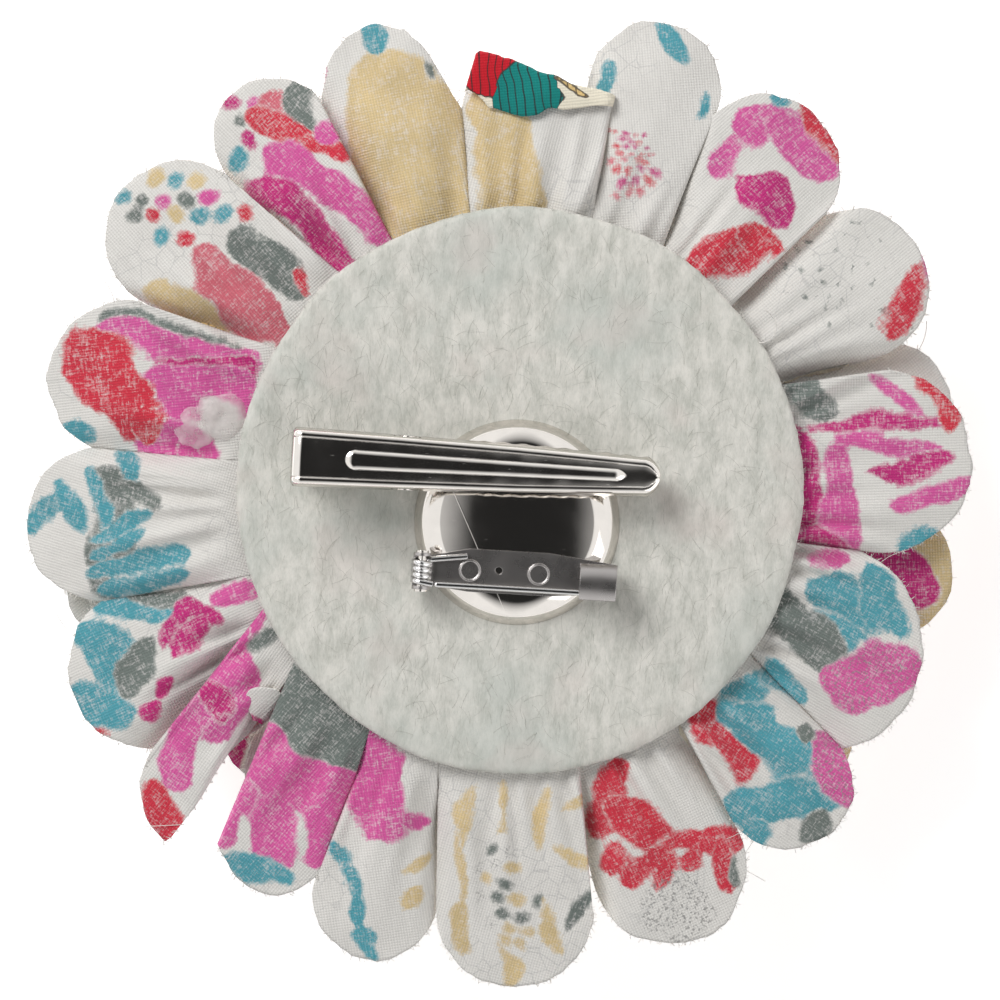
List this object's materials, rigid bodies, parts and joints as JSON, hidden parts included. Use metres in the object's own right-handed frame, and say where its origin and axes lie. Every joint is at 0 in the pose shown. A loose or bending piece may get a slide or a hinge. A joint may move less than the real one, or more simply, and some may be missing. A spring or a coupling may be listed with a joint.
{
  "type": "fabric flower brooch with pin and clip back",
  "caption": "Layered printed-cotton flower with a felt back that carries a sprung bar pin and an alligator clip on a round metal pad.",
  "frame": {"origin": "on the ground, under the middle of the flower's outline, with the flower lying face down", "axes": "+Z out of the flower's back, +X along the clip and the pin, from hinges to tips"},
  "size_m": [0.1169, 0.1211, 0.0362],
  "materials": {
    "printed_cotton": "woven, faded reverse of a print",
    "cushion_cotton": "woven plain cotton",
    "felt": "matted wool felt",
    "thread": "twisted thread",
    "wadding": "loose fibre",
    "card": "matt",
    "glue": "set glue",
    "nickel": "bright nickel plate",
    "pin_steel": "drawn wire, nickel plated"
  },
  "bodies": {
    "flower": {"felt_backing": "felt", "petal_layer_1": "printed_cotton", "petal_layer_2": "printed_cotton", "petal_layer_3": "printed_cotton", "petal_layer_4": "printed_cotton", "petal_layer_5": "printed_cotton", "gathering_thread": "thread", "cushion_cover": "cushion_cotton", "cushion_filling": "wadding", "cushion_card": "card", "glue_pad": "glue", "metal_pad": "nickel", "pin_base_bar": "nickel", "pin_hinge_rivet": "nickel", "pin_spring_coil": "pin_steel", "clip_lower_jaw": "nickel", "clip_hinge_pin": "nickel", "clip_spring": "pin_steel"},
    "pin": {"pin_stem": "pin_steel"},
    "clip_arm": {"clip_upper_jaw": "nickel"}
  },
  "joints": [
    {"name": "pin_swing", "type": "hinge", "parent": "flower", "child": "pin", "pos_m": [-0.0069, -0.0107, 0.03177], "axis": [0, -0.5, -0.866], "range_deg": [0, 60]},
    {"name": "clip_squeeze", "type": "hinge", "parent": "flower", "child": "clip_arm", "pos_m": [-0.0115, 0.004, 0.032], "axis": [0, -1, 0], "range_deg": [0, 15], "deforming": ["clip_spring"]}
  ]
}
